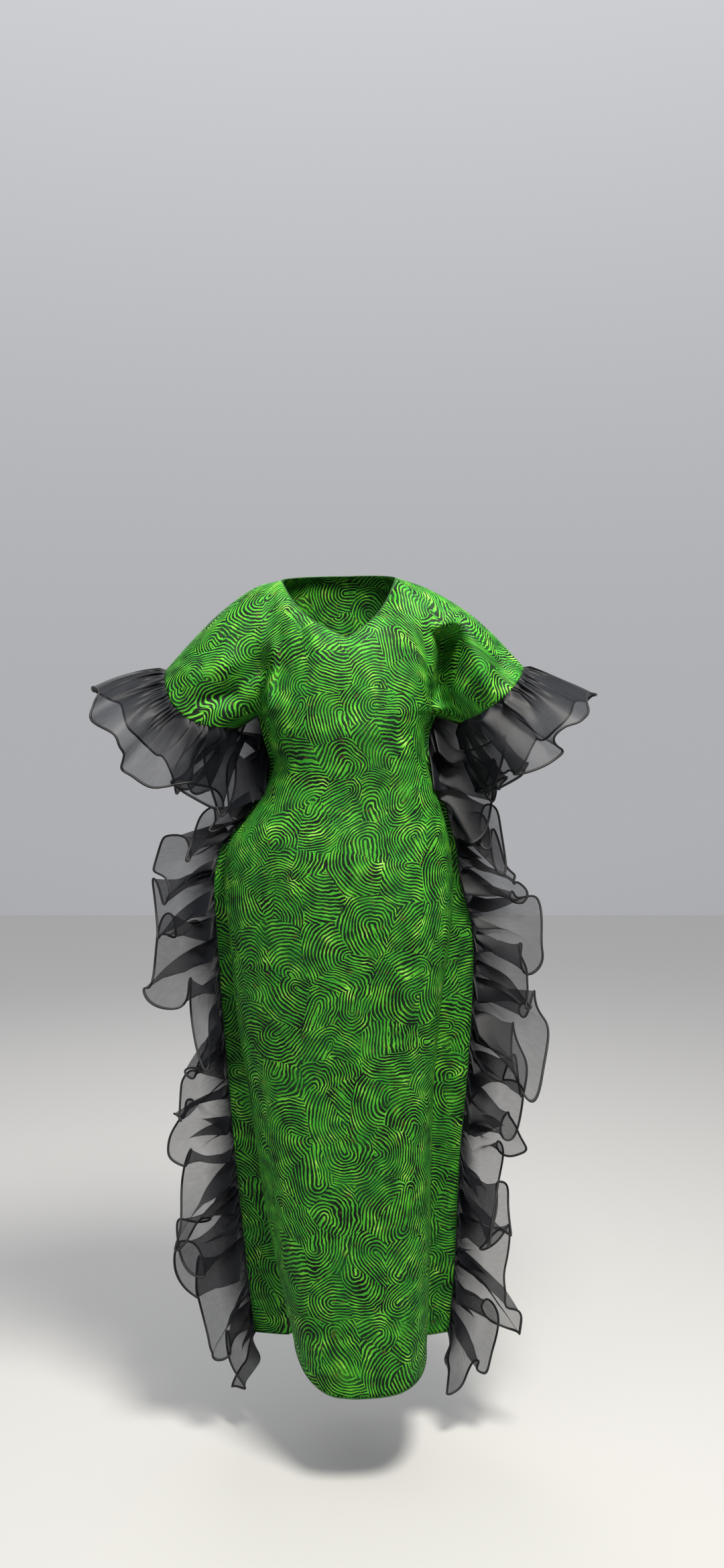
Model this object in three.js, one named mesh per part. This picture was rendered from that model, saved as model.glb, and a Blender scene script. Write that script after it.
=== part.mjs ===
// A kaftan dress held up at the shoulders: a printed cotton front and back, each cut in one with
// its half of both short sleeves, and sheer gathered ruffles round the cuffs and down both sides.
// Millimetres, +Z up, the front faces -Y. The origin is midway between the two side-neck points.
import * as THREE from "three";

// ---- cloth ----
const COTTON = 2.0;
const ORGANZA = 1.0;
const SEAM_GAP = 0.5;

// ---- neck ----
const NECK_LEFT = { x: -106, z: 0 };
const NECK_RIGHT = { x: 90, z: 4 };
const V_POINT = { x: 7, z: -110 };
const V_STRAIGHT_SHARE = 0.52;
const V_ROUND_POWER = 4;
const NECK_FRONT_DEPTH = 88;
const NECK_FRONT_POWER = 0.75;
const BACK_NECK_RISE = 16;
const BACK_NECK_DEPTH = 52;

// ---- shoulders and sleeves: the seam over the arm, from the side neck to the cuff ----
const SHOULDER_LEFT = [
  { at: 0, x: -106, z: 0 },
  { at: 0.25, x: -152, z: -14 },
  { at: 0.5, x: -205, z: -52 },
  { at: 0.75, x: -252, z: -98 },
  { at: 1, x: -301, z: -153 },
];
const SHOULDER_RIGHT = [
  { at: 0, x: 90, z: 4 },
  { at: 0.25, x: 142, z: -14 },
  { at: 0.5, x: 200, z: -47 },
  { at: 0.75, x: 252, z: -90 },
  { at: 1, x: 307, z: -149 },
];
const ARMHOLE_AT = 0.28;
const SLEEVES = {
  left: {
    seam: SHOULDER_LEFT, cuff: { x: -180, z: -254 }, bow: { x: -23, z: -32 }, front: 86, back: 82,
    ruffle: 126, topFlare: 50, sag: 34,
  },
  right: {
    seam: SHOULDER_RIGHT, cuff: { x: 197, z: -246 }, bow: { x: 12, z: -10 }, front: 84, back: 82,
    ruffle: 127, topFlare: 30, sag: 10,
  },
};
const ARMHOLE_DEPTH = { front: 76, back: 70 };
const CHEST_DEPTH = { front: 102, back: 84 };
const SLEEVE_ROUNDNESS = 2.6;
const BOW_FADE_POWER = 1.3;

// ---- body sections from the armpits to the hem ----
// left/right: side seams; leftRoot/rightRoot: where the flat side flare leaves the tube;
// front/back: how far the cloth stands out; frontShape/backShape: 2 is an ellipse, more is squarer;
// flare: how far back the side seams lie.
const SECTION_COLUMNS = [
  "z", "left", "leftRoot", "rightRoot", "right", "front", "back", "frontShape", "backShape", "flare",
];
const SECTIONS = [
  [-232, -146, -139, 151, 158, 116, 92, 2.5, 2.6, 0],
  [-270, -137, -130, 139, 146, 118, 88, 2.5, 2.5, 0],
  [-318, -126, -119, 144, 151, 108, 82, 2.4, 2.4, 0],
  [-385, -156, -148, 166, 174, 108, 96, 2.3, 2.4, 0],
  [-450, -206, -194, 182, 192, 116, 114, 2.3, 2.3, 0],
  [-515, -221, -203, 188, 200, 122, 124, 2.3, 2.3, 2],
  [-600, -217, -195, 184, 221, 122, 122, 2.4, 2.4, 4],
  [-720, -209, -184, 168, 221, 118, 116, 2.5, 2.5, 6],
  [-850, -198, -166, 156, 213, 114, 112, 2.6, 2.5, 9],
  [-980, -187, -147, 151, 201, 118, 110, 2.7, 2.5, 12],
  [-1080, -177, -132, 150, 196, 126, 110, 2.9, 2.5, 15],
  [-1190, -166, -110, 147, 191, 138, 110, 3.1, 2.5, 20],
  [-1300, -154, -84, 142, 182, 150, 112, 3.4, 2.5, 26],
].map((row) => Object.fromEntries(SECTION_COLUMNS.map((name, i) => [name, row[i]])));
const HEM_DROP_FRONT = 20;
const HEM_DROP_START = 0.7;

// ---- folds, each a soft ridge (height > 0) or trough along a line across the cloth ----
const FRONT_FOLDS = [
  { x0: -126, z0: -140, x1: -205, z1: -216, width: 20, height: -15 },
  { x0: -168, z0: -150, x1: -262, z1: -178, width: 26, height: 9 },
  { x0: -116, z0: -50, x1: -108, z1: -200, width: 24, height: -9 },
  { x0: 176, z0: -98, x1: 160, z1: -222, width: 18, height: -40 },
  { x0: 202, z0: -66, x1: 244, z1: -200, width: 22, height: 15 },
  { x0: 262, z0: -110, x1: 256, z1: -190, width: 18, height: -10 },
  { x0: -150, z0: -830, x1: -96, z1: -1290, width: 22, height: -12 },
];
const FOLD_OVERRUN = 0.2;
const FOLD_FADE = 0.35;
const BACK_FOLDS = [
  { x0: -150, z0: -215, x1: -250, z1: -160, width: 28, height: -18 },
  { x0: 156, z0: -215, x1: 250, z1: -160, width: 28, height: -18 },
  { x0: -40, z0: -620, x1: -70, z1: -1290, width: 34, height: -12 },
  { x0: 52, z0: -560, x1: 74, z1: -1290, width: 34, height: -12 },
];

// ---- grid of each panel ----
const SLEEVE_COLUMNS = 8;
const FLARE_COLUMNS = 2;
const TUBE_COLUMNS = 18;
const TUBE_ARC_STEPS = 120;
const SHOULDER_COLUMNS = 4;
const UPPER_ROWS = 12;
const LOWER_ROWS = 20;
const BODY_COLUMNS = TUBE_COLUMNS + 2 * FLARE_COLUMNS;
const LOWER_ROW_POWER = 1.25;

// ---- ruffles ----
// depth: width of the strip; sway: how far a wave stands to each side at the free edge;
// lean: how far a wave's outer crest slides along the seam; curl: share of the depth by which the
// free edge swings out and in between crests, so that it runs in loops; tail: share of the seam
// over which the waves die out at the hem, where the strip's end hangs straight.
const RUFFLE_STEPS_ACROSS = 4;
const WAVE_GROWTH_POWER = 0.9;
const SLEEVE_RUFFLE = {
  waves: 11, waveSteps: 7, sway: 24, lean: 13, curl: 0.14, bottomReach: 0.74, bottomFlare: 12,
};
const SIDE_RUFFLE = {
  depth: 112, waves: 13, waveSteps: 9, sway: 30, lean: 15, curl: 0.2, top: -242, tail: 0.06,
};
// droop: degrees below level; reach: share of the full depth
const SIDE_RUFFLE_HANG = {
  left: [
    { at: 0, droop: 50, reach: 0.3 },
    { at: 0.04, droop: 52, reach: 0.44 },
    { at: 0.09, droop: 43, reach: 0.6 },
    { at: 0.15, droop: 32, reach: 0.8 },
    { at: 0.23, droop: 30, reach: 1.04 },
    { at: 0.3, droop: 36, reach: 1 },
    { at: 0.38, droop: 36, reach: 1.06 },
    { at: 0.46, droop: 58, reach: 0.96 },
    { at: 0.54, droop: 60, reach: 0.92 },
    { at: 0.63, droop: 42, reach: 1 },
    { at: 0.78, droop: 39, reach: 1.06 },
    { at: 0.88, droop: 47, reach: 1.04 },
    { at: 0.95, droop: 66, reach: 1 },
    { at: 1, droop: 80, reach: 0.94 },
  ],
  right: [
    { at: 0, droop: 44, reach: 0.32 },
    { at: 0.04, droop: 46, reach: 0.5 },
    { at: 0.08, droop: 40, reach: 0.68 },
    { at: 0.14, droop: 30, reach: 0.92 },
    { at: 0.2, droop: 28, reach: 0.94 },
    { at: 0.3, droop: 25, reach: 1.05 },
    { at: 0.4, droop: 35, reach: 1.04 },
    { at: 0.47, droop: 36, reach: 1.1 },
    { at: 0.55, droop: 52, reach: 0.92 },
    { at: 0.66, droop: 43, reach: 0.96 },
    { at: 0.8, droop: 40, reach: 1 },
    { at: 0.88, droop: 38, reach: 1.06 },
    { at: 0.95, droop: 60, reach: 1 },
    { at: 1, droop: 78, reach: 0.94 },
  ],
};

const radians = (degrees) => (degrees * Math.PI) / 180;
const mix = (a, b, t) => a + (b - a) * t;
const smooth = (t) => {
  const s = Math.min(Math.max(t, 0), 1);
  return s * s * (3 - 2 * s);
};

// A smooth curve through one named column of a table, read at a value of its key column.
function read(table, key, column, value) {
  const down = table[0][key] > table[table.length - 1][key] ? -1 : 1;
  const last = table.length - 1;
  let i = 0;
  while (i < last - 1 && (value - table[i + 1][key]) * down > 0) i += 1;
  const k = (n) => table[n][key];
  const v = (n) => table[n][column];
  const slope = (n) => {
    const a = Math.max(n - 1, 0);
    const b = Math.min(n + 1, last);
    return (v(b) - v(a)) / (k(b) - k(a));
  };
  const width = k(i + 1) - k(i);
  const t = (value - k(i)) / width;
  const t2 = t * t;
  const t3 = t2 * t;
  return (
    (2 * t3 - 3 * t2 + 1) * v(i) +
    (t3 - 2 * t2 + t) * width * slope(i) +
    (3 * t2 - 2 * t3) * v(i + 1) +
    (t3 - t2) * width * slope(i + 1)
  );
}

// Evenly spaced points along a polyline.
function spaced(points, count) {
  const along = [0];
  for (let i = 1; i < points.length; i += 1) {
    along.push(along[i - 1] + points[i].distanceTo(points[i - 1]));
  }
  const total = along[along.length - 1];
  return Array.from({ length: count + 1 }, (_, n) => {
    const target = (total * n) / count;
    let i = 1;
    while (i < along.length - 1 && along[i] < target) i += 1;
    const t = (target - along[i - 1]) / (along[i] - along[i - 1]);
    return points[i - 1].clone().lerp(points[i], t);
  });
}

// Height of all the folds at a place on a panel, positive away from the body.
function foldHeight(folds, x, z) {
  return folds.reduce((sum, fold) => {
    const dx = fold.x1 - fold.x0;
    const dz = fold.z1 - fold.z0;
    const length = Math.hypot(dx, dz);
    const t = ((x - fold.x0) * dx + (z - fold.z0) * dz) / (length * length);
    const off = ((x - fold.x0) * dz - (z - fold.z0) * dx) / length;
    const ends = smooth((t + FOLD_OVERRUN) / FOLD_FADE) * smooth((1 + FOLD_OVERRUN - t) / FOLD_FADE);
    return sum + fold.height * ends * Math.exp(-((off / fold.width) ** 2));
  }, 0);
}

// ---- panels: side is -1 for the front and +1 for the back ----
const seamStandOff = COTTON + SEAM_GAP / 2;

// One level section of a panel, from the left side seam to the right one.
function lowerSection(side, z) {
  const at = (column) => read(SECTIONS, "z", column, z);
  const depth = side < 0 ? at("front") : at("back");
  const shape = side < 0 ? at("frontShape") : at("backShape");
  const flare = at("flare");
  const seamY = flare + side * seamStandOff;
  const left = new THREE.Vector3(at("left"), seamY, z);
  const leftRoot = new THREE.Vector3(at("leftRoot"), seamY, z);
  const right = new THREE.Vector3(at("right"), seamY, z);
  const rightRoot = new THREE.Vector3(at("rightRoot"), seamY, z);
  const middle = (leftRoot.x + rightRoot.x) / 2;
  const half = (rightRoot.x - leftRoot.x) / 2;
  const bulge = side * depth - seamY;
  const curve = Array.from({ length: TUBE_ARC_STEPS + 1 }, (_, i) => {
    const angle = Math.PI * (1 - i / TUBE_ARC_STEPS);
    const across = Math.sign(Math.cos(angle)) * Math.abs(Math.cos(angle)) ** (2 / shape);
    const out = Math.abs(Math.sin(angle)) ** (2 / shape);
    return new THREE.Vector3(middle + half * across, seamY + bulge * out, z);
  });
  const flareColumns = (from, to) =>
    Array.from({ length: FLARE_COLUMNS }, (_, i) => from.clone().lerp(to, i / FLARE_COLUMNS));
  return [
    ...flareColumns(left, leftRoot),
    ...spaced(curve, TUBE_COLUMNS),
    ...flareColumns(right, rightRoot).reverse(),
  ];
}

// The front hem hangs a little lower in its middle.
function hemDrop(side, column, share) {
  if (side > 0) return 0;
  const t = (2 * column) / BODY_COLUMNS - 1;
  return -HEM_DROP_FRONT * (1 - t * t) * smooth((share - HEM_DROP_START) / (1 - HEM_DROP_START));
}

// The top edge of a panel: along the shoulder seams and round the neck, over the body columns.
function topPoint(side, column) {
  const neckColumns = BODY_COLUMNS - 2 * SHOULDER_COLUMNS;
  const seamY = side * seamStandOff;
  if (column <= SHOULDER_COLUMNS) {
    const at = ARMHOLE_AT * (1 - column / SHOULDER_COLUMNS);
    return new THREE.Vector3(read(SHOULDER_LEFT, "at", "x", at), seamY, read(SHOULDER_LEFT, "at", "z", at));
  }
  if (column >= BODY_COLUMNS - SHOULDER_COLUMNS) {
    const at = (ARMHOLE_AT * (column - BODY_COLUMNS + SHOULDER_COLUMNS)) / SHOULDER_COLUMNS;
    return new THREE.Vector3(read(SHOULDER_RIGHT, "at", "x", at), seamY, read(SHOULDER_RIGHT, "at", "z", at));
  }
  const t = (2 * (column - SHOULDER_COLUMNS)) / neckColumns - 1;
  const corner = t < 0 ? NECK_LEFT : NECK_RIGHT;
  const x = mix(V_POINT.x, corner.x, Math.abs(t));
  if (side > 0) {
    const round = Math.sqrt(1 - t * t);
    const z = corner.z * Math.abs(t) + BACK_NECK_RISE * round;
    return new THREE.Vector3(x, seamY + BACK_NECK_DEPTH * round, z);
  }
  const rise = V_STRAIGHT_SHARE * Math.abs(t) + (1 - V_STRAIGHT_SHARE) * Math.abs(t) ** V_ROUND_POWER;
  const z = mix(V_POINT.z, corner.z, rise);
  const y = seamY - NECK_FRONT_DEPTH * ((corner.z - z) / (corner.z - V_POINT.z)) ** NECK_FRONT_POWER;
  return new THREE.Vector3(x, y, z);
}

// How round a sleeve stands between its upper and lower seams, 0 at both.
const sleeveRound = (v) => (1 - Math.abs(2 * v - 1) ** SLEEVE_ROUNDNESS) ** 0.5;

function sleevePoint(side, sleeve, armpit, share, v) {
  const at = mix(1, ARMHOLE_AT, share);
  const top = { x: read(sleeve.seam, "at", "x", at), z: read(sleeve.seam, "at", "z", at) };
  const bottom = { x: mix(sleeve.cuff.x, armpit.x, share), z: mix(sleeve.cuff.z, armpit.z, share) };
  const bow = 4 * v * (1 - v) * (1 - share) ** BOW_FADE_POWER;
  const face = side < 0 ? "front" : "back";
  const depth = mix(sleeve[face], ARMHOLE_DEPTH[face], share);
  return new THREE.Vector3(
    mix(top.x, bottom.x, v) + bow * sleeve.bow.x,
    side * (seamStandOff + depth * sleeveRound(v)),
    mix(top.z, bottom.z, v) + bow * sleeve.bow.z,
  );
}

// The outer points of a panel, row by row, from the shoulder line to the hem.
function panelPoints(side) {
  const folds = side < 0 ? FRONT_FOLDS : BACK_FOLDS;
  const top = SECTIONS[0].z;
  const hem = SECTIONS[SECTIONS.length - 1].z;
  const chest = lowerSection(side, top);
  const face = side < 0 ? "front" : "back";
  const rows = [];
  for (let r = 0; r <= UPPER_ROWS; r += 1) {
    const v = r / UPPER_ROWS;
    const left = Array.from({ length: SLEEVE_COLUMNS }, (_, c) =>
      sleevePoint(side, SLEEVES.left, chest[0], c / SLEEVE_COLUMNS, v),
    );
    const right = Array.from({ length: SLEEVE_COLUMNS }, (_, c) =>
      sleevePoint(side, SLEEVES.right, chest[BODY_COLUMNS], c / SLEEVE_COLUMNS, v),
    ).reverse();
    const body = chest.map((low, c) => {
      const high = topPoint(side, c);
      const point = high.clone().lerp(low, v);
      const inward = smooth(Math.min(c, BODY_COLUMNS - c) / (BODY_COLUMNS / 2));
      const middle = side * (seamStandOff + mix(ARMHOLE_DEPTH[face], CHEST_DEPTH[face], inward));
      point.y += (middle - (high.y + low.y) / 2) * sleeveRound(v);
      return point;
    });
    rows.push([...left, ...body, ...right]);
  }
  for (let r = 1; r <= LOWER_ROWS; r += 1) {
    const share = (r / LOWER_ROWS) ** LOWER_ROW_POWER;
    const section = lowerSection(side, mix(top, hem, share));
    section.forEach((point, c) => {
      point.z += hemDrop(side, c, share);
    });
    const none = Array(SLEEVE_COLUMNS).fill(null);
    rows.push([...none, ...section, ...none]);
  }
  rows.forEach((row, r) => {
    row.forEach((point, c) => {
      if (point && !onSeam(r, c)) point.y += side * foldHeight(folds, point.x, point.z);
    });
  });
  return rows;
}

// Seams: over and under the sleeves, the shoulders, and down both sides with their flares.
function onSeam(r, c) {
  const body = c - SLEEVE_COLUMNS;
  const inSleeve = body < 0 || body > BODY_COLUMNS;
  const onShoulder = body <= SHOULDER_COLUMNS || body >= BODY_COLUMNS - SHOULDER_COLUMNS;
  const onFlare = body <= FLARE_COLUMNS || body >= BODY_COLUMNS - FLARE_COLUMNS;
  if (r === 0) return onShoulder;
  if (r < UPPER_ROWS) return false;
  return inSleeve || onFlare;
}

// The normal at a grid point, from its neighbours.
function gridNormal(rows, r, c, wrap) {
  const columns = rows[0].length;
  const pick = (i, j) => {
    if (i < 0 || i >= rows.length) return null;
    if (wrap) return rows[i][(j + columns) % columns];
    return rows[i][j] ?? null;
  };
  const here = rows[r][c];
  const down = (pick(r + 1, c) ?? here).clone().sub(pick(r - 1, c) ?? here);
  const across = (pick(r, c + 1) ?? here).clone().sub(pick(r, c - 1) ?? here);
  return down.cross(across).normalize();
}

// A closed wall between a grid of outer points and its inner points. A cell is there where its
// four corners are, and every edge with a cell on one side only gets a rim. Both faces of a cell
// are split along the same diagonal, so that they stay parallel where the cell is warped.
function wall(outer, inner, { flip = false, wrap = false } = {}) {
  const columns = outer[0].length;
  const positions = [];
  const outerIds = outer.map((row) => row.map(() => -1));
  const innerIds = outer.map((row) => row.map(() => -1));
  const place = (grid, ids) => {
    grid.forEach((row, r) => {
      row.forEach((point, c) => {
        if (!point) return;
        ids[r][c] = positions.length / 3;
        positions.push(point.x, point.y, point.z);
      });
    });
  };
  place(outer, outerIds);
  place(inner, innerIds);
  const index = [];
  const edges = new Map();
  const quad = (a, b, c, d) => (flip ? index.push(a, d, c, a, c, b) : index.push(a, b, c, a, c, d));
  const lastColumn = wrap ? columns : columns - 1;
  for (let r = 0; r < outer.length - 1; r += 1) {
    for (let c = 0; c < lastColumn; c += 1) {
      const next = (c + 1) % columns;
      const corners = [[r, c], [r + 1, c], [r + 1, next], [r, next]];
      if (!corners.every(([i, j]) => outer[i][j])) continue;
      quad(...corners.map(([i, j]) => outerIds[i][j]));
      const [first, second, third, fourth] = corners.map(([i, j]) => innerIds[i][j]);
      quad(first, fourth, third, second);
      corners.forEach((from, n) => {
        const to = corners[(n + 1) % 4];
        edges.set(`${from}|${to}`, [from, to]);
      });
    }
  }
  edges.forEach(([from, to]) => {
    if (edges.has(`${to}|${from}`)) return;
    const [a, b] = [from, to];
    quad(outerIds[b[0]][b[1]], outerIds[a[0]][a[1]], innerIds[a[0]][a[1]], innerIds[b[0]][b[1]]);
  });
  const geometry = new THREE.BufferGeometry();
  geometry.setAttribute("position", new THREE.Float32BufferAttribute(positions, 3));
  geometry.setIndex(index);
  geometry.computeVertexNormals();
  return geometry;
}

function panelGeometry(side) {
  const outer = panelPoints(side);
  const inner = outer.map((row, r) =>
    row.map((point, c) => {
      if (!point) return null;
      const body = c - SLEEVE_COLUMNS;
      const flareRow = r >= UPPER_ROWS && (body === 0 || body === BODY_COLUMNS);
      const out = onSeam(r, c) || flareRow
        ? new THREE.Vector3(0, side, 0)
        : gridNormal(outer, r, c, false).multiplyScalar(-side);
      return point.clone().addScaledVector(out, -COTTON);
    }),
  );
  return wall(outer, inner, { flip: side > 0 });
}

// ---- ruffles ----
// Uneven but repeatable: each wave is a little stronger or weaker than the next, and a little
// nearer to it or further away.
const waveStrength = (n) => 1 + 0.22 * Math.sin(n * 2.3 + 1.7 * Math.sin(n * 0.9));
const waveShift = (t, mirror) => 0.012 * Math.sin(9 * t + mirror) + 0.005 * Math.sin(23 * t - mirror);

// The point of a seam at a height.
function seamAt(edge, z) {
  let i = 1;
  while (i < edge.length - 1 && edge[i].z > z) i += 1;
  const t = (z - edge[i - 1].z) / (edge[i].z - edge[i - 1].z);
  return edge[i - 1].clone().lerp(edge[i], t);
}

// A side ruffle's middle surface: rows from the seam to the free edge, columns down the seam.
function sideRuffle(mirror, hang, edge) {
  const spec = SIDE_RUFFLE;
  const steps = spec.waves * spec.waveSteps;
  const end = edge[edge.length - 1].z + SEAM_GAP;
  return Array.from({ length: RUFFLE_STEPS_ACROSS + 1 }, (_, a) => {
    const r = a / RUFFLE_STEPS_ACROSS;
    return Array.from({ length: steps + 1 }, (__, i) => {
      const t = i / steps;
      const z = mix(spec.top, end, t);
      const base = seamAt(edge, z);
      const wave = spec.waves * (t + waveShift(t, mirror));
      const fade = smooth((1 - t) / spec.tail);
      const crest = fade * Math.sin(2 * Math.PI * wave);
      const swing = fade * Math.cos(2 * Math.PI * wave);
      const reach = read(hang, "at", "reach", t);
      const strength = waveStrength(wave + 2 * mirror) * reach * r ** WAVE_GROWTH_POWER;
      const droop = radians(read(hang, "at", "droop", t));
      const out = spec.depth * reach * r * (1 + spec.curl * swing);
      return new THREE.Vector3(
        base.x + mirror * (SEAM_GAP + ORGANZA / 2 + out * Math.cos(droop)),
        base.y - spec.sway * strength * crest,
        z - out * Math.sin(droop) - spec.lean * strength * crest,
      );
    });
  });
}

// A sleeve ruffle's middle surface: rows from the cuff to the free edge, columns round the cuff.
function sleeveRuffle(mirror, sleeve, frontEdge, backEdge) {
  const spec = SLEEVE_RUFFLE;
  const steps = spec.waves * spec.waveSteps;
  const loop = [...frontEdge, ...backEdge.slice(1, -1).reverse(), frontEdge[0]];
  const ring = spaced(loop, steps).slice(0, steps);
  const centre = ring.reduce((sum, p) => sum.add(p), new THREE.Vector3()).divideScalar(steps);
  const down = new THREE.Vector3(sleeve.cuff.x - loop[0].x, 0, sleeve.cuff.z - loop[0].z).normalize();
  const axis = new THREE.Vector3(-mirror * down.z, 0, -Math.abs(down.x));
  return Array.from({ length: RUFFLE_STEPS_ACROSS + 1 }, (_, a) => {
    const r = a / RUFFLE_STEPS_ACROSS;
    return ring.map((p, i) => {
      const radial = p.clone().sub(centre);
      radial.addScaledVector(axis, -radial.dot(axis)).normalize();
      const height = smooth(0.5 - 0.5 * radial.dot(down));
      const flare = radians(mix(spec.bottomFlare, sleeve.topFlare, height));
      const along = axis.clone().multiplyScalar(Math.cos(flare)).addScaledVector(radial, Math.sin(flare));
      const aside = axis.clone().multiplyScalar(-Math.sin(flare)).addScaledVector(radial, Math.cos(flare));
      const crest = Math.sin((2 * Math.PI * i) / spec.waveSteps);
      const swing = Math.cos((2 * Math.PI * i) / spec.waveSteps);
      const tangent = along.clone().cross(aside).multiplyScalar(mirror);
      const reach = mix(spec.bottomReach, 1, height);
      const strength = waveStrength(i / spec.waveSteps + mirror) * reach * r ** WAVE_GROWTH_POWER;
      const out = sleeve.ruffle * reach * r * (1 + spec.curl * swing);
      const point = p.clone().addScaledVector(axis, SEAM_GAP + ORGANZA / 2);
      point.addScaledVector(along, out).addScaledVector(aside, spec.sway * strength * crest);
      point.addScaledVector(tangent, spec.lean * strength * crest);
      point.z -= sleeve.sag * height * r * r;
      return point;
    });
  });
}

// A wall of even thickness on both sides of a middle surface.
function sheetGeometry(middle, thickness, wrap) {
  const offset = (distance) =>
    middle.map((row, r) =>
      row.map((point, c) => point.clone().addScaledVector(gridNormal(middle, r, c, wrap), distance)),
    );
  return wall(offset(thickness / 2), offset(-thickness / 2), { wrap });
}

const cotton = new THREE.MeshStandardMaterial({ color: 0x3fa51e, roughness: 0.78, metalness: 0 });
const organza = new THREE.MeshStandardMaterial({ color: 0x16161f, roughness: 0.5, metalness: 0 });

const dress = new THREE.Group();
function addPiece(name, geometry, material) {
  const mesh = new THREE.Mesh(geometry, material);
  mesh.name = name;
  dress.add(mesh);
}

addPiece("front_panel", panelGeometry(-1), cotton);
addPiece("back_panel", panelGeometry(1), cotton);

const frontPoints = panelPoints(-1);
const backPoints = panelPoints(1);
// The side seam lies midway between the two panels' edges, from the armpit to the hem.
const sideEdge = (column) =>
  frontPoints.slice(UPPER_ROWS).map((row, r) =>
    row[column].clone().lerp(backPoints[UPPER_ROWS + r][column], 0.5));
const cuffEdge = (points, column) => points.slice(0, UPPER_ROWS + 1).map((row) => row.at(column));
[
  { name: "left", mirror: -1, cuff: 0, seam: SLEEVE_COLUMNS },
  { name: "right", mirror: 1, cuff: -1, seam: SLEEVE_COLUMNS + BODY_COLUMNS },
].forEach(({ name, mirror, cuff, seam }) => {
  const ring = sleeveRuffle(mirror, SLEEVES[name], cuffEdge(frontPoints, cuff), cuffEdge(backPoints, cuff));
  addPiece(`sleeve_ruffle_${name}`, sheetGeometry(ring, ORGANZA, true), organza);
  const strip = sideRuffle(mirror, SIDE_RUFFLE_HANG[name], sideEdge(seam));
  addPiece(`side_ruffle_${name}`, sheetGeometry(strip, ORGANZA, false), organza);
});

export default dress;
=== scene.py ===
import math

import bpy
import numpy as np
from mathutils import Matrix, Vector


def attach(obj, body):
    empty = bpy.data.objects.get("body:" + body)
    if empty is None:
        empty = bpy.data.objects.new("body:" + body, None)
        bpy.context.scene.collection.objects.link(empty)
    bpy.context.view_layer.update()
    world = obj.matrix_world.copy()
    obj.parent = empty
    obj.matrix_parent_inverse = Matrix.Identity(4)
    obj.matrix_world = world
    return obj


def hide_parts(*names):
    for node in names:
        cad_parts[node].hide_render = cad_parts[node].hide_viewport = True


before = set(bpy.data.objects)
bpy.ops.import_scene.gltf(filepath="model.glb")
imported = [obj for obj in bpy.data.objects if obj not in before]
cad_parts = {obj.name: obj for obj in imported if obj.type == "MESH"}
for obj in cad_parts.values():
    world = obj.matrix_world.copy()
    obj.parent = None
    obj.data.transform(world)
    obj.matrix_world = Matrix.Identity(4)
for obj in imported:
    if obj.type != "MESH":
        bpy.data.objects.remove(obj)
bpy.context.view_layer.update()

# Shapes are worked out in millimetres: x across, y from front to back, z up, with the origin between the
# shoulders. Left and right are as seen from the front.
MM = 0.001
SIDE = {"front": -1, "back": 1}

# ---- neck, shoulders and sleeves ----
NECK_LEFT = (-106, 0)
NECK_RIGHT = (90, 4)
V_POINT = (7, -110)
V_STRAIGHT_SHARE = 0.52
V_ROUND_POWER = 4
NECK_FRONT_DEPTH = 88
NECK_FRONT_POWER = 0.75
BACK_NECK_RISE = 16
BACK_NECK_DEPTH = 52
# x and z follow a sleeve's shoulder seam at these shares of the way from neck to cuff. The cuff is the
# point under the arm, the bow how far the cuff's edge stands off a straight line, front and back its
# depths. The ruffle is that deep; over the arm it spreads by flare, in degrees, and sinks by sag.
SEAM_AT = (0, 0.25, 0.5, 0.75, 1)
ARMHOLE_AT = 0.28
SLEEVES = {
    "left": {
        "mirror": -1, "x": (-106, -152, -205, -252, -301), "z": (0, -14, -52, -98, -153),
        "cuff": (-180, -254), "bow": (-23, -32), "front": 86, "back": 82,
        "ruffle": 126, "flare": 50, "sag": 34,
    },
    "right": {
        "mirror": 1, "x": (90, 142, 200, 252, 307), "z": (4, -14, -47, -90, -149),
        "cuff": (197, -246), "bow": (12, -10), "front": 84, "back": 82,
        "ruffle": 127, "flare": 30, "sag": 10,
    },
}
ARMHOLE_DEPTH = {"front": 76, "back": 70}
CHEST_DEPTH = {"front": 102, "back": 84}
SLEEVE_ROUNDNESS = 2.6
BOW_FADE_POWER = 1.3

# ---- level sections of the body, armpits to hem ----
# From left to left_root and from right_root to right the panels lie flat together, at y = flare. Between
# the roots they bulge by front and back, in a superellipse of the power that the shape gives.
SECTION_COLUMNS = (
    "z", "left", "left_root", "right_root", "right", "front", "back", "front_shape", "back_shape", "flare",
)
SECTIONS = dict(zip(SECTION_COLUMNS, np.array([
    [-232, -146, -139, 151, 158, 116, 92, 2.5, 2.6, 0],
    [-270, -137, -130, 139, 146, 118, 88, 2.5, 2.5, 0],
    [-318, -126, -119, 144, 151, 112, 82, 2.4, 2.4, 0],
    [-385, -156, -148, 166, 174, 110, 96, 2.3, 2.4, 0],
    [-450, -206, -194, 182, 192, 116, 114, 2.3, 2.3, 0],
    [-515, -221, -203, 188, 200, 122, 124, 2.3, 2.3, 2],
    [-600, -217, -195, 184, 221, 122, 122, 2.4, 2.4, 4],
    [-720, -209, -184, 168, 221, 118, 116, 2.5, 2.5, 6],
    [-850, -198, -166, 156, 213, 114, 112, 2.6, 2.5, 9],
    [-980, -187, -147, 151, 201, 118, 110, 2.7, 2.5, 12],
    [-1080, -177, -132, 150, 196, 126, 110, 2.9, 2.5, 15],
    [-1190, -166, -110, 147, 191, 138, 110, 3.1, 2.5, 20],
    [-1300, -154, -84, 142, 182, 150, 112, 3.0, 2.5, 26],
]).T))
ARC_STEPS = 1200
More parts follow.
